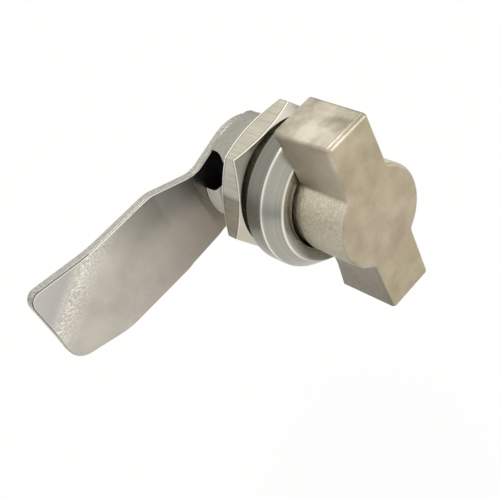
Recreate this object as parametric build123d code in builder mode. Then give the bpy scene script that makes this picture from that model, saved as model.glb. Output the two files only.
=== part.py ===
"""Quarter-turn cam lock with a wing handle, for a panel with a double-D hole.

Millimetres, +Z up. The origin is on the lock's axis, in the plane where the flange
meets the panel. The handle faces -Y, the barrel and the cam lie behind the panel at +Y.
The parts are drawn locked: the wing stands upright and the cam points along -X.
"""
import os
from math import cos, hypot, radians, sin, tan

from build123d import *

# Barrel, to suit a 22 mm double-D hole
barrel_r = 11.0
barrel_flats = 20.0
barrel_end = 15.2
bore_r = 7.05
barrel_end_chamfer = 0.4
slot_r = 4.5
slot_depth = 5.2
slot_turn = 33.0
window_turn = 45.0
window_depth = 3.0
thread_play = 0.05

# Flange, in front of the panel
flange_over = 3.5
bevel_run = 2.2
rim_front = 4.5
flange_front = 7.9
flange_chamfer = 0.8
mouth_r = 9.9
mouth_floor = 3.4
mouth_chamfer = 0.25

# Seals
seal_land = 0.7
seal_w = 1.2
seal_depth = 1.0
ring_section = 1.9
ring_side_play = 0.1
ring_y = 3.0
ring_play = 0.04

# Wing handle
wing_len = 40.0
wing_end_w = 10.2
wing_root_w = 10.8
wing_front = 20.0
wing_gap = 0.3
disc_r = 9.7
neck_r = 9.3
neck_front = 9.5
neck_slope = 0.5
tip_sweep = 1.4
sweep_start = 12.5
wing_corner_r = 0.9
root_r = 1.0
front_edge_r = 0.85
back_edge = 0.3
shoulder_gap = 0.15

# Spindle
journal_play = 0.05
square_w = 8.0
square_play = 0.05
spindle_over = 0.15
bolt_r = 3.0
bolt_play = 0.03
tap_depth = 14.0

# Mounting nut
nut_wall = 2.5
nut_front = 2.05
nut_thick = 5.15
nut_turn = 3.5
nut_chamfer_in = 0.2
nut_chamfer_angle = 30.0
nut_bore_chamfer = 0.5

# Cam
sheet = 2.0
hub_r = 10.0
neck_angle = 15.4
neck_run = 8.2
arm_half = 10.0
arm_x = 21.0
cam_reach = 50.0
crank = 1.5
crank_start = 12.5
crank_end = 20.0
neck_fillet = 6.0
arm_fillet = 10.0
crank_r = 4.0
lead_corner_r = 2.6
trail_start = 38.0
trail_end_z = 6.4
trail_heel_r = 14.0
trail_corner_r = 4.5
lead_start = 36.0
lead_end_z = 1.0
lead_angle = 21.0
lead_r = 7.0
cam_edge = 0.25

# Stop lug, pressed forward out of the hub
lug_h = 1.2
lug_dent = 1.0
lug_play = 0.12
lug_in_r = 7.5
lug_out_r = 9.5

# Fasteners behind the cam
washer_r = 8.0
washer_t = 1.6
washer_hole_r = 3.2
spring_r = 5.9
spring_hole_r = 3.1
spring_t = 1.4
spring_slit = 0.8
head_r = 5.25
head_t = 3.3
head_rim = 0.5
head_flat_r = 3.0
head_bulge = 0.55
key_af = 4.0
key_depth = 2.1
bolt_grip = 11.0

# Derived sizes
panel = Plane.XZ
flange_r = barrel_r + flange_over
face_r = flange_r - bevel_run
seal_in_r = barrel_r + seal_land
seal_out_r = seal_in_r + seal_w
spindle_r = bore_r - journal_play
wing_back = flange_front + wing_gap
shoulder = mouth_floor + shoulder_gap
spindle_end = barrel_end + spindle_over
cam_front = spindle_end
cam_back = cam_front + sheet
square_end = cam_back - journal_play
arm_front = cam_front + crank
arm_back = arm_front + sheet
washer_back = cam_back + washer_t
spring_back = washer_back + spring_t
slot_y = barrel_end - slot_depth + slot_r
ring_out_r = bore_r - ring_play
ring_in_r = ring_out_r - ring_section
ring_front = ring_y - ring_section / 2


def behind(y):
    """The plane across the axis at a height y behind the panel face."""
    return panel.offset(-y)


os.makedirs("parts", exist_ok=True)

# Wing handle: one casting with its stem, journal and square end
with BuildPart() as wing_handle:
    with BuildSketch(behind(tip_sweep - wing_back)) as outline:
        with BuildLine():
            Polyline(
                (-wing_end_w / 2, -wing_len / 2),
                (wing_end_w / 2, -wing_len / 2),
                (wing_root_w / 2, 0),
                (wing_end_w / 2, wing_len / 2),
                (-wing_end_w / 2, wing_len / 2),
                (-wing_root_w / 2, 0),
                close=True,
            )
        make_face()
        ends = outline.vertices().filter_by(lambda v: abs(v.Y) > wing_len / 4)
        fillet(ends, wing_corner_r)
    extrude(amount=wing_front - wing_back + tip_sweep)
    with BuildSketch(Plane.YZ):
        with BuildLine():
            Polyline(
                (-wing_front, wing_len / 2),
                (tip_sweep - wing_back, wing_len / 2),
                (-wing_back, sweep_start),
                (-wing_back, -sweep_start),
                (tip_sweep - wing_back, -wing_len / 2),
                (-wing_front, -wing_len / 2),
                close=True,
            )
        make_face()
    extrude(amount=wing_root_w, both=True, mode=Mode.INTERSECT)
    with BuildSketch(behind(-neck_front)):
        Circle(disc_r)
    extrude(amount=wing_front - neck_front)
    roots = wing_handle.edges().filter_by(Axis.Y).filter_by(
        lambda e: abs(hypot(e.center().X, e.center().Z) - disc_r) < 0.1
    )
    fillet(roots, root_r)
    fillet(wing_handle.faces().sort_by(Axis.Y)[0].edges(), front_edge_r)
    backs = wing_handle.faces().filter_by(
        lambda f: f.normal_at().Y > 0.9 and f.center().Y > -neck_front + neck_slope
    )
    sweeps = wing_handle.edges().filter_by(Axis.X).filter_by(
        lambda e: abs(abs(e.center().Z) - sweep_start) < 0.01
    )
    chamfer([e for e in backs.edges() if e not in sweeps], back_edge)
    with BuildSketch(behind(-shoulder)):
        Circle(neck_r)
    extrude(amount=neck_front - shoulder)
    neck_top = neck_front + neck_slope
    with BuildSketch(Plane.XY):
        with BuildLine():
            Polyline(
                (0, -neck_top),
                (disc_r, -neck_top),
                (disc_r, -neck_front - neck_slope / 2),
                (neck_r, -neck_front),
                (0, -neck_front),
                close=True,
            )
        make_face()
    revolve(axis=Axis.Y)
    with BuildSketch(behind(-shoulder)):
        Circle(spindle_r)
    extrude(amount=-(shoulder + spindle_end))
    with BuildSketch(behind(spindle_end)):
        Rectangle(square_w, square_w)
    extrude(amount=-(square_end - spindle_end))
    with BuildSketch(behind(ring_front - ring_side_play)):
        Circle(bore_r)
        Circle(ring_in_r, mode=Mode.SUBTRACT)
    extrude(amount=-(ring_section + 2 * ring_side_play), mode=Mode.SUBTRACT)
    with BuildSketch(behind(square_end)):
        Circle(bolt_r + bolt_play)
    extrude(amount=tap_depth, mode=Mode.SUBTRACT)
wing_handle.part.label = "wing_handle"
export_step(wing_handle.part, "parts/wing_handle.step")

# Housing: flange and double-D barrel in one turned piece, its end milled with stops
with BuildPart() as housing:
    with BuildSketch(Plane.XY):
        with BuildLine():
            Polyline(
                (bore_r, -mouth_floor),
                (mouth_r, -mouth_floor),
                (mouth_r, mouth_chamfer - flange_front),
                (mouth_r + mouth_chamfer, -flange_front),
                (face_r, -flange_front),
                (flange_r, -rim_front),
                (flange_r, -flange_chamfer),
                (flange_r - flange_chamfer, 0),
                (seal_out_r, 0),
                (seal_out_r, -seal_depth),
                (seal_in_r, -seal_depth),
                (seal_in_r, 0),
                (barrel_r, 0),
                (barrel_r, barrel_end - barrel_end_chamfer),
                (barrel_r - barrel_end_chamfer, barrel_end),
                (bore_r, barrel_end),
                close=True,
            )
        make_face()
    revolve(axis=Axis.Y)
    with BuildSketch(panel):
        with Locations((0, barrel_r), (0, -barrel_r)):
            Rectangle(2 * barrel_r, 2 * barrel_r - barrel_flats)
    extrude(amount=-barrel_end, mode=Mode.SUBTRACT)
    for turn in (slot_turn, 180 - slot_turn, 180 + window_turn, 360 - window_turn):
        out = Vector(cos(radians(turn)), 0, sin(radians(turn)))
        with BuildSketch(Plane(origin=(0, slot_y, 0), x_dir=(0, 1, 0), z_dir=out)):
            Circle(slot_r)
            with Locations((slot_depth / 2, 0)):
                Rectangle(slot_depth, 2 * slot_r)
        extrude(amount=2 * barrel_r, mode=Mode.SUBTRACT)
    window_x = 2 * barrel_r * sin(radians(90 - window_turn))
    window_z = 2 * barrel_r * cos(radians(90 - window_turn))
    with BuildSketch(behind(barrel_end - window_depth)):
        with BuildLine():
            Polyline((0, 0), (-window_x, -window_z), (window_x, -window_z), close=True)
        make_face()
    extrude(amount=-window_depth, mode=Mode.SUBTRACT)
housing.part.label = "housing"
export_step(housing.part, "parts/housing.step")

# Flange seal: square-cut ring let into the back of the flange
with BuildPart() as flange_seal:
    with BuildSketch(panel):
        Circle(seal_out_r)
        Circle(seal_in_r, mode=Mode.SUBTRACT)
    extrude(amount=seal_depth)
flange_seal.part.label = "flange_seal"
export_step(flange_seal.part, "parts/flange_seal.step")

# Spindle seal: square-cut ring in the journal's groove
with BuildPart() as spindle_seal:
    with BuildSketch(behind(ring_front)):
        Circle(ring_out_r)
        Circle(ring_in_r, mode=Mode.SUBTRACT)
    extrude(amount=-ring_section)
spindle_seal.part.label = "spindle_seal"
export_step(spindle_seal.part, "parts/spindle_seal.step")

# Mounting nut: thin hexagon nut that clamps the panel against the flange
nut_back = nut_front + nut_thick
nut_half = barrel_r + nut_wall
nut_corner = nut_half / cos(radians(30))
nut_chamfer_r = nut_half - nut_chamfer_in
nut_slope = (nut_corner - nut_chamfer_r) * tan(radians(nut_chamfer_angle))
with BuildPart() as mounting_nut:
    with BuildSketch(behind(nut_front)):
        RegularPolygon(nut_corner, 6, rotation=nut_turn)
    extrude(amount=-nut_thick)
    with BuildSketch(Plane.XY):
        with BuildLine():
            Polyline(
                (barrel_r + thread_play + nut_bore_chamfer, nut_front),
                (nut_chamfer_r, nut_front),
                (nut_corner, nut_front + nut_slope),
                (nut_corner, nut_back - nut_slope),
                (nut_chamfer_r, nut_back),
                (barrel_r + thread_play + nut_bore_chamfer, nut_back),
                (barrel_r + thread_play, nut_back - nut_bore_chamfer),
                (barrel_r + thread_play, nut_front + nut_bore_chamfer),
                close=True,
            )
        make_face()
    revolve(axis=Axis.Y, mode=Mode.INTERSECT)
mounting_nut.part.label = "mounting_nut"
export_step(mounting_nut.part, "parts/mounting_nut.step")

# Cam outline where the hub's edge runs straight on into the neck
shoulder_x = hub_r * sin(radians(neck_angle))
shoulder_z = hub_r * cos(radians(neck_angle))
neck_x = shoulder_x + neck_run * cos(radians(neck_angle))
neck_half = shoulder_z - neck_run * sin(radians(neck_angle))

# Cam, first its lead-in corner: a flat strip tilted back about an oblique line
run_x = cam_reach - lead_start
run_z = arm_half - lead_end_z
along = Vector(-run_x, 0, -run_z).normalized()
outward = Vector(-run_z, 0, run_x).normalized()
hinge = Vector(-lead_start, (arm_front + arm_back) / 2, arm_half)
tilt = radians(lead_angle)
tilted_out = outward * cos(tilt) + Vector(0, 1, 0) * sin(tilt)
mitre = Plane(
    origin=hinge,
    x_dir=along,
    z_dir=outward * cos(tilt / 2) + Vector(0, 1, 0) * sin(tilt / 2),
)
with BuildPart() as lead_corner:
    with BuildSketch(Plane(origin=hinge, x_dir=along, z_dir=along.cross(tilted_out))):
        Rectangle(3 * cam_reach, cam_reach)
    extrude(amount=sheet / 2, both=True)
    split(bisect_by=mitre, keep=Keep.TOP)

# Cam: cranked sheet blank with a square hole and a pressed stop lug
with BuildPart() as cam:
    with BuildSketch(Plane.XY) as side:
        with BuildLine():
            Polyline(
                (hub_r, cam_front),
                (-crank_start, cam_front),
                (-crank_end, arm_front),
                (-2 * cam_reach, arm_front),
                (-2 * cam_reach, arm_back),
                (-crank_end, arm_back),
                (-crank_start, cam_back),
                (hub_r, cam_back),
                close=True,
            )
        make_face()
        bends = side.vertices().filter_by(lambda v: -crank_end - 1 < v.X < 0)
        fillet(bends, crank_r)
    extrude(amount=2 * hub_r, both=True)
    split(bisect_by=mitre, keep=Keep.BOTTOM)
    add(lead_corner.part)
    with BuildSketch(behind(cam_front - lug_h)) as blank:
        Circle(hub_r)
        with BuildLine():
            Polyline(
                (-shoulder_x, shoulder_z),
                (-neck_x, neck_half),
                (-arm_x, arm_half),
                (-cam_reach, arm_half),
                (-cam_reach, -trail_end_z),
                (-trail_start, -arm_half),
                (-arm_x, -arm_half),
                (-neck_x, -neck_half),
                (-shoulder_x, -shoulder_z),
                close=True,
            )
        make_face()
        necks = blank.vertices().filter_by(lambda v: abs(v.X + neck_x) < 0.01)
        fillet(necks, neck_fillet)
        arms = blank.vertices().filter_by(lambda v: abs(v.X + arm_x) < 0.01)
        fillet(arms, arm_fillet)
        tips = blank.vertices().filter_by(lambda v: abs(v.X + cam_reach) < 0.01)
        fillet(tips.sort_by(Axis.Y)[0], trail_corner_r)
        heels = blank.vertices().filter_by(lambda v: abs(v.X + trail_start) < 0.01)
        fillet(heels.sort_by(Axis.Y)[0], trail_heel_r)
        fillet(blank.vertices().sort_by(lambda v: v.Y - v.X)[-1], lead_corner_r)
    extrude(amount=-cam_reach / 2, mode=Mode.INTERSECT)
    creases = cam.edges().filter_by(
        lambda e: e.length > run_z and abs(mitre.to_local_coords(e.center()).Z) < 0.01
    )
    fillet(creases, lead_r)
    walls = cam.faces().filter_by(lambda f: abs(f.normal_at().Y) < 0.01)
    rims = walls.edges().filter_by(lambda e: abs(e.tangent_at(0.5).Y) < 0.9)
    chamfer(rims, cam_edge)
    with BuildSketch(behind(cam_front)):
        Rectangle(square_w + 2 * square_play, square_w + 2 * square_play)
    extrude(amount=-sheet, mode=Mode.SUBTRACT)
    lug_half = slot_r - lug_play
    with BuildSketch(behind(cam_front)) as lug:
        Circle(lug_out_r)
        Circle(lug_in_r, mode=Mode.SUBTRACT)
        with Locations(Location((0, 0, 0), (0, 0, 225))):
            with Locations((lug_out_r, 0)):
                Rectangle(2 * lug_out_r, 2 * lug_half, mode=Mode.INTERSECT)
    extrude(amount=lug_h)
    with BuildSketch(behind(cam_back)):
        add(lug.sketch)
    extrude(amount=lug_dent, mode=Mode.SUBTRACT)
cam.part.label = "cam"
export_step(cam.part, "parts/cam.step")

# Flat washer over the cam's square hole
with BuildPart() as flat_washer:
    with BuildSketch(behind(cam_back)):
        Circle(washer_r)
        Circle(washer_hole_r, mode=Mode.SUBTRACT)
    extrude(amount=-washer_t)
flat_washer.part.label = "flat_washer"
export_step(flat_washer.part, "parts/flat_washer.step")

# Spring washer: split ring between the flat washer and the screw's head
with BuildPart() as spring_washer:
    with BuildSketch(behind(washer_back)):
        Circle(spring_r)
        Circle(spring_hole_r, mode=Mode.SUBTRACT)
        with Locations((spring_r, 0)):
            Rectangle(2 * spring_r, spring_slit, mode=Mode.SUBTRACT)
    extrude(amount=-spring_t)
spring_washer.part.label = "spring_washer"
export_step(spring_washer.part, "parts/spring_washer.step")

# Cam screw: button head with a hexagon socket, its shank in the spindle's tapped hole
head_back = spring_back + head_t
dome_r = (head_r + head_flat_r) / 2 + head_bulge
dome_y = (spring_back + head_rim + head_back) / 2 + head_bulge
with BuildPart() as cam_screw:
    with BuildSketch(Plane.XY):
        with BuildLine():
            Line((0, spring_back), (head_r, spring_back))
            Line((head_r, spring_back), (head_r, spring_back + head_rim))
            ThreePointArc(
                (head_r, spring_back + head_rim), (dome_r, dome_y), (head_flat_r, head_back)
            )
            Line((head_flat_r, head_back), (0, head_back))
            Line((0, head_back), (0, spring_back))
        make_face()
    revolve(axis=Axis.Y)
    with BuildSketch(behind(head_back)):
        RegularPolygon(key_af / 2, 6, major_radius=False)
    extrude(amount=key_depth, mode=Mode.SUBTRACT)
    with BuildSketch(behind(spring_back)):
        Circle(bolt_r)
    extrude(amount=bolt_grip)
cam_screw.part.label = "cam_screw"
export_step(cam_screw.part, "parts/cam_screw.step")
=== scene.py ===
"""A quarter-turn cam lock with a wing handle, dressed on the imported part.

Metres, in the part's own frame: +Y runs back along the lock's axis and +Z is up.
"""
from math import cos, pi, radians, sin

import bmesh
import bpy
from mathutils import Matrix, Vector


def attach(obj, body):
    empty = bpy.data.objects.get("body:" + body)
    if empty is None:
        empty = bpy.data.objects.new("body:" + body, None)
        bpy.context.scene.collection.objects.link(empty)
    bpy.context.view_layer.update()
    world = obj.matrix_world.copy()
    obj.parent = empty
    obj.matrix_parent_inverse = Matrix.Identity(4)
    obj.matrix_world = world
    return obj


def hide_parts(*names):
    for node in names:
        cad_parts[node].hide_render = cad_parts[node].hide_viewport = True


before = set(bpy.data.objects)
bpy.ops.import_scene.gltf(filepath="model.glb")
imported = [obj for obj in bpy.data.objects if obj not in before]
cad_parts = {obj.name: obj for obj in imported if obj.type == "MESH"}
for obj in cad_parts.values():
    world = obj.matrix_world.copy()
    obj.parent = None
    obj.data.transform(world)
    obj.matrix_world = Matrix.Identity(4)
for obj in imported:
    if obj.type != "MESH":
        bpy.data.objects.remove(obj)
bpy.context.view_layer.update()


# Camera: the photograph was taken from the front, the left and above, with the
# camera rolled so that the upright wing leans to the left in the picture.
MM = 0.001
camera_aim = Vector((-14.61, 2.62, -4.45)) * MM
camera_distance = 192.97 * MM
camera_azimuth = radians(-25.26)
camera_elevation = radians(40.94)
camera_roll = radians(-28.72)
camera_lens = 74.45

back = Vector((
    sin(camera_azimuth) * cos(camera_elevation),
    -cos(camera_azimuth) * cos(camera_elevation),
    sin(camera_elevation),
))
level = Vector((cos(camera_azimuth), sin(camera_azimuth), 0))
right = level * cos(camera_roll) + back.cross(level) * sin(camera_roll)
up = back.cross(right)
camera_data = bpy.data.cameras.new("camera")
camera_data.lens = camera_lens
camera_data.sensor_width = 36
camera_data.clip_start = 5 * MM
camera = bpy.data.objects.new("camera", camera_data)
camera.matrix_world = Matrix.Translation(camera_aim + back * camera_distance) @ Matrix(
    (right, up, back)
).transposed().to_4x4()
bpy.context.scene.collection.objects.link(camera)
bpy.context.scene.camera = camera
bpy.context.scene.view_settings.view_transform = "Standard"


# Wing handle: the wing, its round stem and the spindle are one investment casting in
# stainless steel, tumbled to a soft satin. The wing's sides are painted darker than its
# face, a painted shade, and the stem keeps the grain of the mould.
def linear(code):
    """The linear colour of an sRGB hex value."""
    parts = [int(code[i:i + 2], 16) / 255 for i in (1, 3, 5)]
    return [p / 12.92 if p <= 0.04045 else ((p + 0.055) / 1.055) ** 2.4 for p in parts] + [1]


def node(tree, kind, settings=(), links=()):
    """Adds a node, sets its properties and sockets, and links its inputs."""
    made = tree.nodes.new(kind)
    for name, value in dict(settings).items():
        if isinstance(name, str) and hasattr(made, name):
            setattr(made, name, value)
        else:
            made.inputs[name].default_value = value
    for name, source in dict(links).items():
        tree.links.new(source, made.inputs[name])
    return made


def material(name):
    """An empty material and its tree."""
    made = bpy.data.materials.new(name)
    made.use_nodes = True
    made.node_tree.nodes.clear()
    return made, made.node_tree


def from_axis(tree, spot):
    """The distance of a surface point from the lock's axis."""
    across = node(tree, "ShaderNodeCombineXYZ",
                  links={"X": spot.outputs["X"], "Y": spot.outputs["Z"]})
    return node(tree, "ShaderNodeVectorMath", {"operation": "LENGTH"}, {0: across.outputs[0]})


def softened(name, edge, body, finish):
    """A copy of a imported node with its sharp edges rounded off, standing for that node."""
    shape = bmesh.new()
    shape.from_mesh(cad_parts[name].data)
    bmesh.ops.remove_doubles(shape, verts=shape.verts, dist=0.001 * MM)
    bmesh.ops.dissolve_limit(
        shape, angle_limit=radians(0.4), verts=shape.verts, edges=shape.edges
    )
    for face in shape.faces:
        face.smooth = True
    mesh = bpy.data.meshes.new(name + "_skin")
    shape.to_mesh(mesh)
    shape.free()
    if "custom_normal" in mesh.attributes:
        mesh.attributes.remove(mesh.attributes["custom_normal"])
    mesh.set_sharp_from_angle(angle=radians(30))
    mesh.materials.append(finish)
    piece = bpy.data.objects.new(name + "_skin", mesh)
    bpy.context.scene.collection.objects.link(piece)
    rounding = piece.modifiers.new("rounding", "BEVEL")
    rounding.width = edge
    rounding.segments = 3
    rounding.limit_method = "ANGLE"
    rounding.angle_limit = radians(28)
    rounding.harden_normals = True
    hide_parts(name)
    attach(piece, body)
    return piece


# Cast stainless steel: warm grey, soft highlights that break up over a faint orange peel.
# Its sides are painted darker than the face, a painted shade.
stem_r = 9.9 * MM
journal_front = -3.4 * MM
cast, tree = material("cast_stainless_satin")
place = node(tree, "ShaderNodeTexCoord")
facing = node(tree, "ShaderNodeSeparateXYZ", links={0: place.outputs["Normal"]})
spot = node(tree, "ShaderNodeSeparateXYZ", links={0: place.outputs["Object"]})
off_axis = from_axis(tree, spot)
on_round = node(tree, "ShaderNodeMath", {"operation": "LESS_THAN", 1: stem_r + 0.05 * MM},
                {0: off_axis.outputs["Value"]})
steep = node(tree, "ShaderNodeMath", {"operation": "ABSOLUTE"}, {0: facing.outputs["Y"]})
to_side = node(tree, "ShaderNodeMapRange", {"From Min": 0.75, "From Max": 0.35},
               {"Value": steep.outputs[0]})
stem = node(tree, "ShaderNodeMath", {"operation": "MULTIPLY"},
            {0: on_round.outputs[0], 1: to_side.outputs[0]})
cloud = node(tree, "ShaderNodeTexNoise", {"Scale": 1 / (5 * MM), "Detail": 4.0},
             {"Vector": place.outputs["Object"]})
patchy = node(tree, "ShaderNodeMapRange", {"From Min": 0.32, "From Max": 0.68},
              {"Value": cloud.outputs[0]})
mottle = node(tree, "ShaderNodeTexNoise",
              {"Scale": 1 / (0.9 * MM), "Detail": 4.0, "Roughness": 0.65},
              {"Vector": place.outputs["Object"]})
# Mould grain, really about 0.1 mm, drawn at 0.45 mm so that it shows
grain = node(tree, "ShaderNodeTexNoise",
             {"Scale": 1 / (0.45 * MM), "Detail": 3.0, "Roughness": 0.7},
             {"Vector": place.outputs["Object"]})
face_tone = node(tree, "ShaderNodeMix",
                 {"data_type": "RGBA", 6: linear("#9c9484"), 7: linear("#d9d4c8")},
                 {0: patchy.outputs[0]})
shaded_side_tone = node(tree, "ShaderNodeMix",
                 {"data_type": "RGBA", 6: linear("#8f887c"), 7: linear("#b0a99d")},
                 {0: cloud.outputs[0]})
sideways = node(tree, "ShaderNodeMath", {"operation": "ABSOLUTE"}, {0: facing.outputs["X"]})
flank = node(tree, "ShaderNodeMapRange", {"From Min": 0.45, "From Max": 0.9},
             {"Value": sideways.outputs[0]})
not_stem = node(tree, "ShaderNodeMath", {"operation": "MULTIPLY_ADD", 1: -0.75, 2: 1.0},
                {0: stem.outputs[0]})
# The front face has its own tone, a little deeper and less patchy than the ends
front = node(tree, "ShaderNodeMapRange", {"From Min": -0.8, "From Max": -0.97},
             {"Value": facing.outputs["Y"]})
front_tone = node(tree, "ShaderNodeMix",
                  {"data_type": "RGBA", 6: linear("#aa9f8b"), 7: linear("#c2b7a5")},
                  {0: patchy.outputs[0]})
rubbed_tone = node(tree, "ShaderNodeMix", {"data_type": "RGBA"},
                   {0: front.outputs[0], 6: face_tone.outputs[2], 7: front_tone.outputs[2]})
stem_tone = node(tree, "ShaderNodeMix", {"data_type": "RGBA", 7: linear("#d9d3c5")},
                 {0: stem.outputs[0], 6: rubbed_tone.outputs[2]})
flank_part = node(tree, "ShaderNodeMath", {"operation": "MULTIPLY"},
                  {0: flank.outputs[0], 1: not_stem.outputs[0]})
# The sides and the stem are painted darker towards their lower ends and lighter at the top: painted
# shade and light
height_shade_and_light = node(tree, "ShaderNodeMapRange",
            {"From Min": -16 * MM, "From Max": 8 * MM, "To Min": 0.6, "To Max": 1.22},
            {"Value": spot.outputs["Z"]})
side_with_height_shade = node(tree, "ShaderNodeMix", {"data_type": "RGBA", "blend_type": "MULTIPLY", 0: 1.0},
                   {6: shaded_side_tone.outputs[2], 7: height_shade_and_light.outputs[0]})
stem_height_shade_and_light = node(tree, "ShaderNodeMapRange",
                 {"From Min": -3 * MM, "From Max": 6 * MM, "To Min": 0.5, "To Max": 1.15},
                 {"Value": spot.outputs["Z"]})
stem_with_height_shade = node(tree, "ShaderNodeMix", {"data_type": "RGBA", "blend_type": "MULTIPLY"},
                   {0: stem.outputs[0], 6: stem_tone.outputs[2], 7: stem_height_shade_and_light.outputs[0]})
tone = node(tree, "ShaderNodeMix", {"data_type": "RGBA"},
            {0: flank_part.outputs[0], 6: stem_with_height_shade.outputs[2], 7: side_with_height_shade.outputs[2]})
# Heat and polish left the steel a little pink in places and a little olive in others
drift = node(tree, "ShaderNodeTexNoise", {"Scale": 1 / (13 * MM), "Detail": 2.0},
             {"Vector": place.outputs["Object"]})
drifting = node(tree, "ShaderNodeMapRange", {"From Min": 0.4, "From Max": 0.6},
                {"Value": drift.outputs[0]})
tint = node(tree, "ShaderNodeMix",
            {"data_type": "RGBA", 6: linear("#fffbf7"), 7: linear("#fbfbf3")},
            {0: drifting.outputs[0]})
tone = node(tree, "ShaderNodeMix", {"data_type": "RGBA", "blend_type": "MULTIPLY", 0: 1.0},
            {6: tone.outputs[2], 7: tint.outputs[2]})
# Behind the mouth the journal is machined, and painted dark: a painted shade inside the bore
painted_bore_shade = node(tree, "ShaderNodeMapRange",
               {"From Min": journal_front, "From Max": journal_front + 0.8 * MM},
               {"Value": spot.outputs["Y"]})
bore_shaded_tone = node(tree, "ShaderNodeMix", {"data_type": "RGBA", 7: linear("#33393c")},
                   {0: painted_bore_shade.outputs[0], 6: tone.outputs[2]})
speck = node(tree, "ShaderNodeMapRange",
             {"From Min": 0.42, "From Max": 0.62, "To Min": 0.8, "To Max": 1.15},
             {"Value": grain.outputs[0]})
speck_amount = node(tree, "ShaderNodeMapRange", {"To Min": 0.1, "To Max": 0.75},
                    {"Value": stem.outputs[0]})
speckled = node(tree, "ShaderNodeMix", {"data_type": "RGBA", "blend_type": "MULTIPLY"},
                {0: speck_amount.outputs[0], 6: bore_shaded_tone.outputs[2], 7: speck.outputs[0]})
rough = node(tree, "ShaderNodeMapRange",
             {"From Min": 0.3, "From Max": 0.7, "To Min": 0.3, "To Max": 0.46},
             {"Value": mottle.outputs[0]})
peel = node(tree, "ShaderNodeBump", {"Strength": 0.35, "Distance": 0.25 * MM},
            {"Height": cloud.outputs[0]})
pits = node(tree, "ShaderNodeBump", {"Strength": 0.18, "Distance": 0.06 * MM},
            {"Height": mottle.outputs[0], "Normal": peel.outputs[0]})
grain_depth = node(tree, "ShaderNodeMath", {"operation": "MULTIPLY"},
                   {0: grain.outputs[0], 1: stem.outputs[0]})
rasp = node(tree, "ShaderNodeBump", {"Strength": 0.8, "Distance": 0.16 * MM},
            {"Height": grain_depth.outputs[0], "Normal": pits.outputs[0]})
shader = node(
    tree, "ShaderNodeBsdfPrincipled",
    {"Metallic": 1.0},
    {"Base Color": speckled.outputs[2], "Roughness": rough.outputs[0], "Normal": rasp.outputs[0]},
)
node(tree, "ShaderNodeOutputMaterial", links={"Surface": shader.outputs[0]})

softened("wing_handle", 0.3 * MM, "rotor", cast)


# Housing: the flange and the barrel are turned from one stainless bar, the 22 x 1.5 thread
# is cut on it, then the two flats and the stops at the barrel's end are milled.
turned_points = 192
thread_pitch = 1.5 * MM
thread_depth = 0.8 * MM
# One turn of the thread as parts of the pitch: crest, flank, root, flank, each with its
# start, its stop and how far up the thread's side it lies at both
thread_form = ((0, 0.15, 1, 1), (0.15, 0.5, 1, 0), (0.5, 0.65, 0, 0), (0.65, 1, 0, 1))
barrel_r = 10.98 * MM
thread_end = 11.2 * MM
barrel_end = 15.2 * MM
# Each corner's radius, its place along the axis and its rounding, in millimetres
profile = (
    (7.05, 15.2, 0), (7.05, -3.4, 0), (9.9, -3.4, 0.15), (9.9, -7.65, 0), (10.15, -7.9, 0.12),
    (12.3, -7.9, 0.28), (14.5, -4.5, 0.35), (14.5, -0.8, 0.2), (13.7, 0, 0.1), (12.9, 0, 0),
    (12.9, -1.0, 0), (11.7, -1.0, 0), (11.7, 0, 0),
)


def eased(points, steps=4):
    """A line of corners, each with its own rounding, as points along it."""
    line = []
    for i, (r, y, ease) in enumerate(points):
        here = Vector((r, y))
        if not ease:
            line.append(here)
            continue
        before = Vector(points[i - 1][:2])
        after = Vector(points[i + 1][:2])
        start = here + (before - here).normalized() * ease
        stop = here + (after - here).normalized() * ease
        for k in range(steps + 1):
            t = k / steps
            line.append(start * (1 - t) ** 2 + here * 2 * t * (1 - t) + stop * t ** 2)
    return line


def crest(y, turn):
    """The thread's radius at a height along the barrel and an angle round it."""
    phase = (y / thread_pitch - turn) % 1
    for start, stop, low, high in thread_form:
        if phase <= stop:
            part = low + (high - low) * (phase - start) / (stop - start)
            fade = min(1, max(0, (thread_end - y) / thread_pitch))
            return barrel_r - thread_depth * (1 - part) * fade
    return barrel_r


shape = bmesh.new()
rings = []
for r, y in eased(profile):
    rings.append([
        shape.verts.new((r * MM * cos(2 * pi * i / turned_points), y * MM,
                         r * MM * sin(2 * pi * i / turned_points)))
        for i in range(turned_points)
    ])
for low, high in zip(rings, rings[1:]):
    for i in range(turned_points):
        j = (i + 1) % turned_points
        shape.faces.new((low[i], low[j], high[j], high[i]))
turns = int(barrel_end / thread_pitch) + 3
rows = [turn + start for turn in range(-1, turns) for start, *_ in thread_form]
columns = []
for i in range(turned_points + 1):
    turn = i / turned_points
    column = []
    for row in rows:
        y = min(max(thread_pitch * (row + turn - 1), 0), barrel_end)
        r = crest(y, turn)
        column.append(shape.verts.new((r * cos(2 * pi * turn), y, r * sin(2 * pi * turn))))
    columns.append(column)
for left, right_column in zip(columns, columns[1:]):
    for k in range(len(rows) - 1):
        corners = (left[k], right_column[k], right_column[k + 1], left[k + 1])
        shape.faces.new(corners)
for i in range(turned_points):
    j = (i + 1) % turned_points
    shape.faces.new((rings[-1][i], rings[-1][j], columns[i + 1][0], columns[i][0]))
    shape.faces.new((columns[i][-1], columns[i + 1][-1], rings[0][j], rings[0][i]))
bmesh.ops.remove_doubles(shape, verts=shape.verts, dist=0.002 * MM)
bmesh.ops.dissolve_degenerate(shape, edges=shape.edges, dist=0.001 * MM)
bmesh.ops.recalc_face_normals(shape, faces=shape.faces)
mesh = bpy.data.meshes.new("housing_turned")
shape.to_mesh(mesh)
shape.free()
housing = bpy.data.objects.new("housing_turned", mesh)
bpy.context.scene.collection.objects.link(housing)

# Milling: two flats 20 mm apart, four round-bottomed slots, the upper two a little
# narrower, and the stop window below, a quarter of the way round
slot_depth = 5.2 * MM
window_depth = 3.0 * MM
barrel_flats = 20.0 * MM
slots = ((38, 3.8 * MM), (142, 3.8 * MM), (225, 4.5 * MM), (315, 4.5 * MM))
cuts = []


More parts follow.
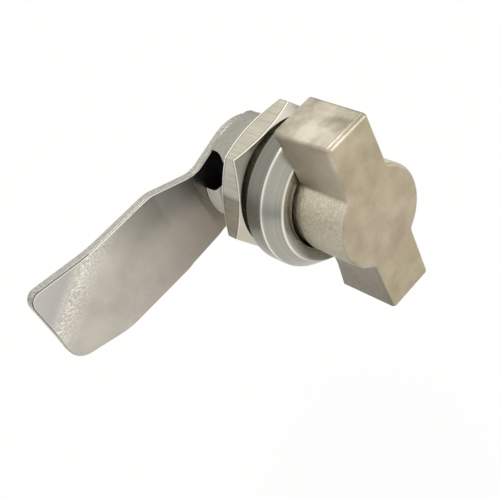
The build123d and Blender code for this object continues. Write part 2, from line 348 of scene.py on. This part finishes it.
def cutter(outline, length, place):
    """A prism that mills the barrel: an outline pushed along Z, then set in its place."""
    blank = bmesh.new()
    floor_face = blank.faces.new([blank.verts.new((x, y, 0)) for x, y in outline])
    pushed = bmesh.ops.extrude_face_region(blank, geom=[floor_face])["geom"]
    for vert in pushed:
        if isinstance(vert, bmesh.types.BMVert):
            vert.co.z += length
    bmesh.ops.recalc_face_normals(blank, faces=blank.faces)
    blank.transform(place)
    mill = bpy.data.meshes.new("mill")
    blank.to_mesh(mill)
    blank.free()
    made = bpy.data.objects.new("mill", mill)
    bpy.context.scene.collection.objects.link(made)
    cuts.append(made)


across = 12 * MM
past_end = barrel_end + MM
seat = 0.001 * MM
slab = ((-across, seat), (across, seat), (across, past_end), (-across, past_end))
for side in (1, -1):
    cutter(slab, side * across, Matrix.Translation((0, 0, side * barrel_flats / 2)))
slot_steps = 24
for turn, slot_r in slots:
    slot_y = barrel_end - slot_depth + slot_r
    slot_outline = [(slot_r, past_end)] + [
        (slot_r * cos(pi * k / slot_steps), slot_y - slot_r * sin(pi * k / slot_steps))
        for k in range(slot_steps + 1)
    ] + [(-slot_r, past_end)]
    cutter(slot_outline, 2 * across, Matrix.Rotation(radians(90 - turn), 4, "Y"))
window = ((0, 0), (-2 * across, -2 * across), (2 * across, -2 * across))
cutter(window, window_depth + MM,
       Matrix.Translation((0, past_end, 0)) @ Matrix.Rotation(radians(90), 4, "X"))
for made in cuts:
    milling = housing.modifiers.new("milling", "BOOLEAN")
    milling.operation = "DIFFERENCE"
    milling.solver = "EXACT"
    milling.object = made
bpy.context.view_layer.update()
milled = bpy.data.meshes.new_from_object(
    housing.evaluated_get(bpy.context.evaluated_depsgraph_get())
)
housing.modifiers.clear()
housing.data = milled
for made in cuts:
    bpy.data.objects.remove(made)
for face in milled.polygons:
    face.use_smooth = True
milled.set_sharp_from_angle(angle=radians(32))

# Turned stainless steel: brighter and smoother than the casting, with the lathe's fine
# rings, which draw each highlight out round the flange.
flange_r = 14.5 * MM
outer_corner = (14.42 * MM, -4.6 * MM, 0)
inner_corner = (12.3 * MM, -7.84 * MM, 0)
turned, tree = material("turned_stainless_bright")
place = node(tree, "ShaderNodeTexCoord")
spot = node(tree, "ShaderNodeSeparateXYZ", links={0: place.outputs["Object"]})
off_axis = from_axis(tree, spot)
# Lathe rings, really about 0.08 mm, drawn at 0.3 mm so that they show
ring_place = node(tree, "ShaderNodeCombineXYZ",
                  links={"X": off_axis.outputs["Value"], "Y": spot.outputs["Y"]})
lathe_rings = node(tree, "ShaderNodeTexNoise", {"Scale": 1 / (0.3 * MM), "Detail": 2.0},
                   {"Vector": ring_place.outputs[0]})
cloud = node(tree, "ShaderNodeTexNoise", {"Scale": 1 / (5 * MM), "Detail": 3.0},
             {"Vector": place.outputs["Object"]})
tone = node(tree, "ShaderNodeMix",
            {"data_type": "RGBA", 6: linear("#a3a39b"), 7: linear("#bab8af")},
            {0: cloud.outputs[0]})
line_tone = node(tree, "ShaderNodeMapRange",
                 {"From Min": 0.3, "From Max": 0.7, "To Min": 0.86, "To Max": 1.06},
                 {"Value": lathe_rings.outputs[0]})
# The rim is darker, and the bore and the stops are painted dark, a painted shade in these recesses.
# The barrel's plain end is painted pale and less metallic, a painted light.
rim = node(tree, "ShaderNodeMapRange",
           {"From Min": flange_r - 0.2 * MM, "From Max": flange_r - 0.05 * MM},
           {"Value": off_axis.outputs["Value"]})
rim_tone = node(tree, "ShaderNodeMix", {"data_type": "RGBA", 7: linear("#8b8c85")},
                {0: rim.outputs[0], 6: tone.outputs[2]})
inside = node(tree, "ShaderNodeMapRange", {"From Min": 10.7 * MM, "From Max": 9.6 * MM},
              {"Value": off_axis.outputs["Value"]})
behind_panel = node(tree, "ShaderNodeMath", {"operation": "GREATER_THAN", 1: 1.5 * MM},
                    {0: spot.outputs["Y"]})
above = node(tree, "ShaderNodeMath", {"operation": "ABSOLUTE"}, {0: spot.outputs["Z"]})
under_flats = node(tree, "ShaderNodeMath",
                   {"operation": "LESS_THAN", 1: barrel_flats / 2 - 0.1 * MM},
                   {0: above.outputs[0]})
painted_recess_shade = node(tree, "ShaderNodeMath", {"operation": "MULTIPLY"},
                 {0: inside.outputs[0], 1: behind_panel.outputs[0]})
painted_recess_shade = node(tree, "ShaderNodeMath", {"operation": "MULTIPLY"},
                 {0: painted_recess_shade.outputs[0], 1: under_flats.outputs[0]})
recess_shaded_tone = node(tree, "ShaderNodeMix", {"data_type": "RGBA", 7: linear("#3b4246")},
                 {0: painted_recess_shade.outputs[0], 6: rim_tone.outputs[2]})
# The flange's two edges carry thin painted highlights, dimmer towards the bottom
outer_edge = node(tree, "ShaderNodeVectorMath", {"operation": "DISTANCE", 1: outer_corner},
                  {0: ring_place.outputs[0]})
inner_edge = node(tree, "ShaderNodeVectorMath", {"operation": "DISTANCE", 1: inner_corner},
                  {0: ring_place.outputs[0]})
nearest_edge = node(tree, "ShaderNodeMath", {"operation": "MINIMUM"},
                    {0: outer_edge.outputs["Value"], 1: inner_edge.outputs["Value"]})
edge_line = node(tree, "ShaderNodeMapRange", {"From Min": 0.3 * MM, "From Max": 0.12 * MM},
                 {"Value": nearest_edge.outputs[0]})
highlight_fade_low = node(tree, "ShaderNodeMapRange", {"From Min": -9 * MM, "From Max": -2 * MM, "To Min": 0.2},
            {"Value": spot.outputs["Z"]})
painted_edge_highlight = node(tree, "ShaderNodeMath", {"operation": "MULTIPLY"},
               {0: edge_line.outputs[0], 1: highlight_fade_low.outputs[0]})
# Painted light: the wall of the flange's mouth is painted pale against the shade in it
within = node(tree, "ShaderNodeMath", {"operation": "LESS_THAN", 1: 10.12 * MM},
              {0: off_axis.outputs["Value"]})
ahead_of_panel = node(tree, "ShaderNodeMath", {"operation": "LESS_THAN", 1: -3.0 * MM},
                      {0: spot.outputs["Y"]})
mouth = node(tree, "ShaderNodeMath", {"operation": "MULTIPLY"},
             {0: within.outputs[0], 1: ahead_of_panel.outputs[0]})
mouth_lit_tone = node(tree, "ShaderNodeMix", {"data_type": "RGBA", 7: linear("#f4f0e4")},
                  {0: mouth.outputs[0], 6: recess_shaded_tone.outputs[2]})
edge_highlighted_tone = node(tree, "ShaderNodeMix", {"data_type": "RGBA", 7: linear("#efede6")},
                 {0: painted_edge_highlight.outputs[0], 6: mouth_lit_tone.outputs[2]})
# Painted light: the barrel's plain end is painted pale and made less metallic
at_end = node(tree, "ShaderNodeMapRange",
              {"From Min": thread_end - 1.7 * MM, "From Max": thread_end + 0.3 * MM},
              {"Value": spot.outputs["Y"]})
outside = node(tree, "ShaderNodeMath", {"operation": "GREATER_THAN", 1: barrel_r - 0.08 * MM},
               {0: off_axis.outputs["Value"]})
painted_lit_end = node(tree, "ShaderNodeMath", {"operation": "MULTIPLY"},
                 {0: at_end.outputs[0], 1: outside.outputs[0]})
low_enough = node(tree, "ShaderNodeMath", {"operation": "LESS_THAN", 1: 6 * MM},
                  {0: above.outputs[0]})
painted_lit_end = node(tree, "ShaderNodeMath", {"operation": "MULTIPLY"},
                 {0: painted_lit_end.outputs[0], 1: low_enough.outputs[0]})
lit_end_tone = node(tree, "ShaderNodeMix", {"data_type": "RGBA", 7: linear("#efece4")},
                {0: painted_lit_end.outputs[0], 6: edge_highlighted_tone.outputs[2]})
lit_end_metallic = node(tree, "ShaderNodeMath", {"operation": "MULTIPLY_ADD", 1: -0.65, 2: 1.0},
               {0: painted_lit_end.outputs[0]})
lined = node(tree, "ShaderNodeMix", {"data_type": "RGBA", "blend_type": "MULTIPLY", 0: 1.0},
             {6: lit_end_tone.outputs[2], 7: line_tone.outputs[0]})
rough = node(tree, "ShaderNodeMapRange",
             {"From Min": 0.3, "From Max": 0.7, "To Min": 0.2, "To Max": 0.32},
             {"Value": cloud.outputs[0]})
scored = node(tree, "ShaderNodeBump", {"Strength": 0.25, "Distance": 0.04 * MM},
              {"Height": lathe_rings.outputs[0]})
round_axis = node(tree, "ShaderNodeTangent", {"direction_type": "RADIAL", "axis": "Y"})
shader = node(
    tree, "ShaderNodeBsdfPrincipled",
    {"Anisotropic": 0.5},
    {
        "Base Color": lined.outputs[2], "Metallic": lit_end_metallic.outputs[0],
        "Roughness": rough.outputs[0], "Normal": scored.outputs[0],
        "Tangent": round_axis.outputs[0],
    },
)
node(tree, "ShaderNodeOutputMaterial", links={"Surface": shader.outputs[0]})
milled.materials.clear()
milled.materials.append(turned)
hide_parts("housing")
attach(housing, "housing")


# Seals: two black nitrile rubber rings. One is let into the back of the flange against the
# panel, the other sits in the journal's groove and keeps water out of the bore.
rubber, tree = material("nitrile_rubber_matt")
place = node(tree, "ShaderNodeTexCoord")
# Bloom and dust on the moulded rubber, in patches of about a millimetre
bloom = node(tree, "ShaderNodeTexNoise", {"Scale": 1 / (1.2 * MM), "Detail": 4.0},
             {"Vector": place.outputs["Object"]})
tone = node(tree, "ShaderNodeMix",
            {"data_type": "RGBA", 6: linear("#161616"), 7: linear("#2a2a29")},
            {0: bloom.outputs[0]})
rough = node(tree, "ShaderNodeMapRange", {"To Min": 0.5, "To Max": 0.75},
             {"Value": bloom.outputs[0]})
soft = node(tree, "ShaderNodeBump", {"Strength": 0.3, "Distance": 0.05 * MM},
            {"Height": bloom.outputs[0]})
shader = node(
    tree, "ShaderNodeBsdfPrincipled",
    {"IOR": 1.52},
    {"Base Color": tone.outputs[2], "Roughness": rough.outputs[0], "Normal": soft.outputs[0]},
)
node(tree, "ShaderNodeOutputMaterial", links={"Surface": shader.outputs[0]})
for name in ("flange_seal", "spindle_seal"):
    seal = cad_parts[name]
    seal.data.materials.clear()
    seal.data.materials.append(rubber)


# Mounting nut: thin hexagon nut, milled from stainless bar and chamfered on both sides.
# It runs on the barrel's thread and clamps the panel against the flange.
# Milled stainless steel: matt flats scored by the cutter, with bright turned chamfers.
machined, tree = material("milled_stainless_matt")
place = node(tree, "ShaderNodeTexCoord")
facing = node(tree, "ShaderNodeSeparateXYZ", links={0: place.outputs["Normal"]})
# Cutter marks run along the axis; they are about 0.15 mm apart, drawn at 0.4 mm
stretch = node(
    tree, "ShaderNodeMapping",
    {"Scale": (1 / (0.4 * MM), 1 / (9 * MM), 1 / (0.4 * MM)), "Rotation": (radians(8), 0, 0)},
    {"Vector": place.outputs["Object"]},
)
marks = node(tree, "ShaderNodeTexNoise", {"Scale": 1.0, "Detail": 3.0, "Roughness": 0.7},
             {"Vector": stretch.outputs[0]})
patches = node(tree, "ShaderNodeTexNoise", {"Scale": 1 / (5 * MM), "Detail": 2.0},
               {"Vector": place.outputs["Object"]})
steep = node(tree, "ShaderNodeMath", {"operation": "ABSOLUTE"}, {0: facing.outputs["Y"]})
on_flat = node(tree, "ShaderNodeMath", {"operation": "LESS_THAN", 1: 0.25}, {0: steep.outputs[0]})
marked = node(tree, "ShaderNodeMath", {"operation": "MULTIPLY"},
              {0: marks.outputs[0], 1: on_flat.outputs[0]})
tone = node(tree, "ShaderNodeMix",
            {"data_type": "RGBA", 6: linear("#b9b4a6"), 7: linear("#d6d2c2")},
            {0: patches.outputs[0]})
mark_tone = node(tree, "ShaderNodeMapRange",
                 {"From Min": 0.3, "From Max": 0.7, "To Min": 0.78, "To Max": 1.1},
                 {"Value": marks.outputs[0]})
# The slanting flats are painted lighter at the top, a painted light, and are less metallic there
spot = node(tree, "ShaderNodeSeparateXYZ", links={0: place.outputs["Object"]})
sideways = node(tree, "ShaderNodeMath", {"operation": "ABSOLUTE"}, {0: facing.outputs["X"]})
upright = node(tree, "ShaderNodeMath", {"operation": "GREATER_THAN", 1: 0.8},
               {0: sideways.outputs[0]})
upper_flat_band = node(tree, "ShaderNodeMapRange", {"From Min": 5.9 * MM, "From Max": 6.7 * MM},
             {"Value": spot.outputs["Z"]})
painted_light_on_flats = node(tree, "ShaderNodeMath", {"operation": "MULTIPLY"},
                   {0: upright.outputs[0], 1: upper_flat_band.outputs[0]})
lit_flat_tone = node(tree, "ShaderNodeMix", {"data_type": "RGBA", 7: linear("#dad7cb")},
                   {0: painted_light_on_flats.outputs[0], 6: tone.outputs[2]})
lined = node(tree, "ShaderNodeMix", {"data_type": "RGBA", "blend_type": "MULTIPLY"},
             {0: on_flat.outputs[0], 6: lit_flat_tone.outputs[2], 7: mark_tone.outputs[0]})
scattering = node(tree, "ShaderNodeMath", {"operation": "MULTIPLY_ADD", 1: -0.6, 2: 1.0},
                  {0: painted_light_on_flats.outputs[0]})
# The chamfers that face upwards are painted grey, a painted shade
on_chamfer = node(tree, "ShaderNodeMath", {"operation": "SUBTRACT", 0: 1.0},
                  {1: on_flat.outputs[0]})
facing_upwards = node(tree, "ShaderNodeMapRange", {"From Min": 0.2, "From Max": 0.4},
               {"Value": facing.outputs["Z"]})
painted_chamfer_shade = node(tree, "ShaderNodeMath", {"operation": "MULTIPLY"},
                    {0: on_chamfer.outputs[0], 1: facing_upwards.outputs[0]})
nut_tone = node(tree, "ShaderNodeMix", {"data_type": "RGBA", 7: linear("#97938a")},
                {0: painted_chamfer_shade.outputs[0], 6: lined.outputs[2]})
# Every edge between a flat and a chamfer is rubbed and carries a painted highlight, in a line about
# 0.2 mm wide
past_flat = node(tree, "ShaderNodeMapRange", {"From Min": 0.12, "From Max": 0.25},
                 {"Value": steep.outputs[0]})
before_chamfer = node(tree, "ShaderNodeMapRange", {"From Min": 0.78, "From Max": 0.7},
                      {"Value": steep.outputs[0]})
worn_edge_highlight = node(tree, "ShaderNodeMath", {"operation": "MULTIPLY"},
                   {0: past_flat.outputs[0], 1: before_chamfer.outputs[0]})
# On the flats it runs beside the cone of the chamfer, with a darker painted shade line inside it
nut_front = 2.05 * MM
nut_back = 7.2 * MM
chamfer_r = 13.3 * MM
chamfer_slope = 0.577
off_axis = from_axis(tree, spot)
cone = node(tree, "ShaderNodeMath",
            {"operation": "MULTIPLY_ADD", 1: -chamfer_slope, 2: chamfer_slope * chamfer_r},
            {0: off_axis.outputs["Value"]})
from_front = node(tree, "ShaderNodeMath", {"operation": "ADD", 1: -nut_front},
                  {0: spot.outputs["Y"]})
from_back = node(tree, "ShaderNodeMath", {"operation": "SUBTRACT", 0: nut_back},
                 {1: spot.outputs["Y"]})
from_face = node(tree, "ShaderNodeMath", {"operation": "MINIMUM"},
                 {0: from_front.outputs[0], 1: from_back.outputs[0]})
from_cone = node(tree, "ShaderNodeMath", {"operation": "ADD"},
                 {0: from_face.outputs[0], 1: cone.outputs[0]})
beside_cone = node(tree, "ShaderNodeMath", {"operation": "COMPARE", 1: 0.1 * MM, 2: 0.17 * MM},
                   {0: from_cone.outputs[0]})
bright_line = node(tree, "ShaderNodeMath", {"operation": "MULTIPLY"},
                   {0: beside_cone.outputs[0], 1: on_flat.outputs[0]})
bright_edge = node(tree, "ShaderNodeMath", {"operation": "MAXIMUM"},
                   {0: worn_edge_highlight.outputs[0], 1: bright_line.outputs[0]})
shade_line_band = node(tree, "ShaderNodeMath", {"operation": "COMPARE", 1: 0.38 * MM, 2: 0.1 * MM},
            {0: from_cone.outputs[0]})
shade_line_strength = node(tree, "ShaderNodeMath", {"operation": "MULTIPLY", 1: 0.8}, {0: shade_line_band.outputs[0]})
shade_line_on_flats = node(tree, "ShaderNodeMath", {"operation": "MULTIPLY"},
                 {0: shade_line_strength.outputs[0], 1: on_flat.outputs[0]})
shade_lined_tone = node(tree, "ShaderNodeMix", {"data_type": "RGBA", 7: linear("#8b8778")},
              {0: shade_line_on_flats.outputs[0], 6: nut_tone.outputs[2]})
edged = node(tree, "ShaderNodeMix", {"data_type": "RGBA", 7: linear("#fffdf6")},
             {0: bright_edge.outputs[0], 6: shade_lined_tone.outputs[2]})
rough = node(tree, "ShaderNodeMapRange", {"To Min": 0.24, "To Max": 0.42},
             {"Value": on_flat.outputs[0]})
scored = node(tree, "ShaderNodeBump", {"Strength": 0.5, "Distance": 0.08 * MM},
              {"Height": marked.outputs[0]})
shader = node(
    tree, "ShaderNodeBsdfPrincipled",
    links={
        "Base Color": edged.outputs[2], "Metallic": scattering.outputs[0],
        "Roughness": rough.outputs[0], "Normal": scored.outputs[0],
    },
)
node(tree, "ShaderNodeOutputMaterial", links={"Surface": shader.outputs[0]})
softened("mounting_nut", 0.2 * MM, "housing", machined)


# Cam: blanked from 2 mm stainless sheet, cranked, its leading corner bent back, then
# tumbled. The square hole sits on the spindle's square end and the lug runs in the window.
# Blanked sheet: a worn, slightly pink and grey mottled shine, and grainy sheared edges.
sheet, tree = material("sheet_stainless_tumbled")
place = node(tree, "ShaderNodeTexCoord")
facing = node(tree, "ShaderNodeSeparateXYZ", links={0: place.outputs["Normal"]})
spot = node(tree, "ShaderNodeSeparateXYZ", links={0: place.outputs["Object"]})
cloud = node(tree, "ShaderNodeTexNoise", {"Scale": 1 / (9 * MM), "Detail": 4.0, "Roughness": 0.6},
             {"Vector": place.outputs["Object"]})
mottle = node(tree, "ShaderNodeTexNoise",
              {"Scale": 1 / (1.4 * MM), "Detail": 4.0, "Roughness": 0.65},
              {"Vector": place.outputs["Object"]})
fine = node(tree, "ShaderNodeTexNoise", {"Scale": 1 / (0.4 * MM), "Detail": 2.0},
            {"Vector": place.outputs["Object"]})
tint = node(tree, "ShaderNodeMapRange", {"From Min": 0.35, "From Max": 0.65},
            {"Value": cloud.outputs[0]})
face_tone = node(tree, "ShaderNodeMix",
                 {"data_type": "RGBA", 6: linear("#b9b2aa"), 7: linear("#cac5bc")},
                 {0: tint.outputs[0]})
# Towards the hub the sheet is painted darker, a painted shade from the nut and the barrel
toward_hub_shade = node(tree, "ShaderNodeMapRange", {"From Min": -34 * MM, "From Max": -12 * MM},
              {"Value": spot.outputs["X"]})
hub_shaded_tone = node(tree, "ShaderNodeMix", {"data_type": "RGBA", 7: linear("#8a8279")},
                {0: toward_hub_shade.outputs[0], 6: face_tone.outputs[2]})
# Painted shade: the upper part of the neck, by the hub, is painted darker still
shaded_neck = node(tree, "ShaderNodeMapRange", {"From Min": 0.0, "From Max": 5 * MM},
                   {"Value": spot.outputs["Z"]})
neck = node(tree, "ShaderNodeMath", {"operation": "MULTIPLY"},
            {0: shaded_neck.outputs[0], 1: toward_hub_shade.outputs[0]})
neck_tone = node(tree, "ShaderNodeMix", {"data_type": "RGBA", 7: linear("#747570")},
                 {0: neck.outputs[0], 6: hub_shaded_tone.outputs[2]})
# The bend of the leading corner is orange-peeled where the sheet was stretched, and carries a
# speckled painted highlight
across_bend = (0.54, 0, -0.84)
bend_distance = 27.9 * MM
bend_line = node(tree, "ShaderNodeVectorMath", {"operation": "DOT_PRODUCT", 1: across_bend},
                 {0: place.outputs["Object"]})
beyond_bend = node(tree, "ShaderNodeMath", {"operation": "ADD", 1: bend_distance},
                   {0: bend_line.outputs["Value"]})
from_bend = node(tree, "ShaderNodeMath", {"operation": "ABSOLUTE"}, {0: beyond_bend.outputs[0]})
near_bend = node(tree, "ShaderNodeMapRange", {"From Min": 4.6 * MM, "From Max": 0},
                 {"Value": from_bend.outputs[0]})
peeled = node(tree, "ShaderNodeMapRange", {"From Min": 0.38, "From Max": 0.72},
              {"Value": fine.outputs[0]})
bright = node(tree, "ShaderNodeMath", {"operation": "MULTIPLY"},
              {0: near_bend.outputs[0], 1: peeled.outputs[0]})
bend_highlight_tone = node(tree, "ShaderNodeMix", {"data_type": "RGBA", 7: linear("#fdfbf5")},
                 {0: bright.outputs[0], 6: neck_tone.outputs[2]})
# Painted shade: the bent corner beyond the bend is painted darker
corner = node(tree, "ShaderNodeMapRange", {"From Min": -0.6 * MM, "From Max": -2.4 * MM},
              {"Value": beyond_bend.outputs[0]})
shaded_corner_tone = node(tree, "ShaderNodeMix", {"data_type": "RGBA", 7: linear("#a29e9b")},
                   {0: corner.outputs[0], 6: bend_highlight_tone.outputs[2]})
# The front edge was rolled over by the press, and a thin painted highlight runs along its upper
# side
rolled = node(tree, "ShaderNodeMapRange", {"From Min": -0.975, "From Max": -0.9},
              {"Value": facing.outputs["Y"]})
rolled_in = node(tree, "ShaderNodeMapRange", {"From Min": -0.66, "From Max": -0.74},
                 {"Value": facing.outputs["Y"]})
painted_roll_highlight = node(tree, "ShaderNodeMath", {"operation": "MULTIPLY"},
                   {0: rolled.outputs[0], 1: rolled_in.outputs[0]})
upper_edge = node(tree, "ShaderNodeMapRange", {"From Min": 0.1, "From Max": 0.4},
                  {"Value": facing.outputs["Z"]})
painted_roll_highlight = node(tree, "ShaderNodeMath", {"operation": "MULTIPLY"},
                   {0: painted_roll_highlight.outputs[0], 1: upper_edge.outputs[0]})
rolled_highlight_tone = node(tree, "ShaderNodeMix", {"data_type": "RGBA", 7: linear("#fbfaf5")},
                   {0: painted_roll_highlight.outputs[0], 6: shaded_corner_tone.outputs[2]})
steep = node(tree, "ShaderNodeMath", {"operation": "ABSOLUTE"}, {0: facing.outputs["Y"]})
on_edge = node(tree, "ShaderNodeMapRange", {"From Min": 0.7, "From Max": 0.55},
               {"Value": steep.outputs[0]})
# Below that line runs a dark crease, where the shear first bit
from_crease = node(tree, "ShaderNodeMath", {"operation": "ADD", 1: -0.6}, {0: steep.outputs[0]})
crease_width = node(tree, "ShaderNodeMath", {"operation": "ABSOLUTE"}, {0: from_crease.outputs[0]})
crease = node(tree, "ShaderNodeMapRange",
              {"From Min": 0.05, "From Max": 0.16, "To Min": 0.4, "To Max": 1.0},
              {"Value": crease_width.outputs[0]})
edge_tone = node(tree, "ShaderNodeMix",
                 {"data_type": "RGBA", 6: linear("#74736a"), 7: linear("#eceae2")},
                 {0: fine.outputs[0]})
tone = node(tree, "ShaderNodeMix", {"data_type": "RGBA"},
            {0: on_edge.outputs[0], 6: rolled_highlight_tone.outputs[2], 7: edge_tone.outputs[2]})
creased = node(tree, "ShaderNodeMix", {"data_type": "RGBA", "blend_type": "MULTIPLY", 0: 1.0},
               {6: tone.outputs[2], 7: crease.outputs[0]})
rough = node(tree, "ShaderNodeMapRange",
             {"From Min": 0.3, "From Max": 0.7, "To Min": 0.26, "To Max": 0.42},
             {"Value": mottle.outputs[0]})
waves = node(tree, "ShaderNodeBump", {"Strength": 0.3, "Distance": 0.3 * MM},
             {"Height": cloud.outputs[0]})
dents = node(tree, "ShaderNodeBump", {"Strength": 0.15, "Distance": 0.06 * MM},
             {"Height": mottle.outputs[0], "Normal": waves.outputs[0]})
grainy = node(tree, "ShaderNodeMath", {"operation": "MAXIMUM"},
              {0: on_edge.outputs[0], 1: near_bend.outputs[0]})
edge_grain = node(tree, "ShaderNodeMath", {"operation": "MULTIPLY"},
                  {0: fine.outputs[0], 1: grainy.outputs[0]})
sheared = node(tree, "ShaderNodeBump", {"Strength": 0.5, "Distance": 0.1 * MM},
               {"Height": edge_grain.outputs[0], "Normal": dents.outputs[0]})
shader = node(
    tree, "ShaderNodeBsdfPrincipled",
    {"Metallic": 1.0},
    {"Base Color": creased.outputs[2], "Roughness": rough.outputs[0], "Normal": sheared.outputs[0]},
)
node(tree, "ShaderNodeOutputMaterial", links={"Surface": shader.outputs[0]})
softened("cam", 0.12 * MM, "rotor", sheet)


# Fasteners behind the cam: a flat washer over the square hole, a split spring washer and
# an M6 button-head screw with a hexagon socket, all stainless steel.
softened("flat_washer", 0.12 * MM, "rotor", sheet)
softened("spring_washer", 0.1 * MM, "rotor", machined)
softened("cam_screw", 0.08 * MM, "rotor", machined)


# Studio: white paper well below the lock, under a soft overcast dome and two soft lamps.
# The dome is brighter ahead of the lock, so that its front faces show an even light.
floor_z = -60 * MM
floor_half = 3.0
mesh = bpy.data.meshes.new("floor")
mesh.from_pydata([(-floor_half, -floor_half, floor_z), (floor_half, -floor_half, floor_z),
                  (floor_half, floor_half, floor_z), (-floor_half, floor_half, floor_z)],
                 [], [(0, 1, 2, 3)])
floor = bpy.data.objects.new("floor", mesh)
bpy.context.scene.collection.objects.link(floor)
paper, tree = material("white_paper")
light_path = node(tree, "ShaderNodeLightPath")
# Metal shows the same white paper, with more of the lamps' falloff and of the shadow in it
in_metal = node(
    tree, "ShaderNodeMath",
    {"operation": "MAXIMUM"},
    {0: light_path.outputs["Is Glossy Ray"], 1: light_path.outputs["Is Transmission Ray"]},
)
in_metal = node(tree, "ShaderNodeMath", {"operation": "MULTIPLY", 1: 0.2}, {0: in_metal.outputs[0]})
share = node(tree, "ShaderNodeMath", {"operation": "MULTIPLY_ADD", 1: 0.93},
             {0: light_path.outputs["Is Camera Ray"], 2: in_metal.outputs[0]})
matt = node(tree, "ShaderNodeBsdfDiffuse", {"Color": linear("#f2f1ef")})
white = node(tree, "ShaderNodeEmission", {"Color": linear("#ffffff"), "Strength": 1.0})
mixed = node(tree, "ShaderNodeMixShader",
             links={0: share.outputs[0], 1: matt.outputs[0], 2: white.outputs[0]})
node(tree, "ShaderNodeOutputMaterial", links={"Surface": mixed.outputs[0]})
mesh.materials.append(paper)

world = bpy.data.worlds.new("studio")
bpy.context.scene.world = world
world.use_nodes = True
tree = world.node_tree
tree.nodes.clear()
place = node(tree, "ShaderNodeTexCoord")
spot = node(tree, "ShaderNodeSeparateXYZ", links={0: place.outputs["Generated"]})
height = node(tree, "ShaderNodeMapRange",
              {"interpolation_type": "SMOOTHSTEP", "From Min": 0.0, "From Max": 0.4},
              {"Value": spot.outputs["Z"]})
sky = node(tree, "ShaderNodeMix", {"data_type": "RGBA", 6: linear("#9da29f"), 7: linear("#f6f4ef")},
           {0: height.outputs[0]})
ahead = node(tree, "ShaderNodeMapRange", {"From Min": -0.35, "From Max": -0.85, "To Max": 0.85},
             {"Value": spot.outputs["Y"]})
room = node(tree, "ShaderNodeMix", {"data_type": "RGBA", 7: linear("#f7f5f0")},
            {0: ahead.outputs[0], 6: sky.outputs[2]})
dome = node(tree, "ShaderNodeBackground", {"Strength": 1.0}, {"Color": room.outputs[2]})
node(tree, "ShaderNodeOutputWorld", links={"Surface": dome.outputs[0]})

# Each lamp's place and size in metres and its power in watts; both point at the lock
for name, place, size, power in (
    ("top_lamp", (0.16, 0.16, 0.56), 0.2, 0.6),
    ("front_lamp", (0.30, -0.42, 0.10), 0.36, 0.7),
):
    data = bpy.data.lights.new(name, "AREA")
    data.shape = "SQUARE"
    data.size = size
    data.energy = power
    lamp = bpy.data.objects.new(name, data)
    lamp.location = place
    lamp.rotation_euler = Vector(place).to_track_quat("Z", "Y").to_euler()
    bpy.context.scene.collection.objects.link(lamp)
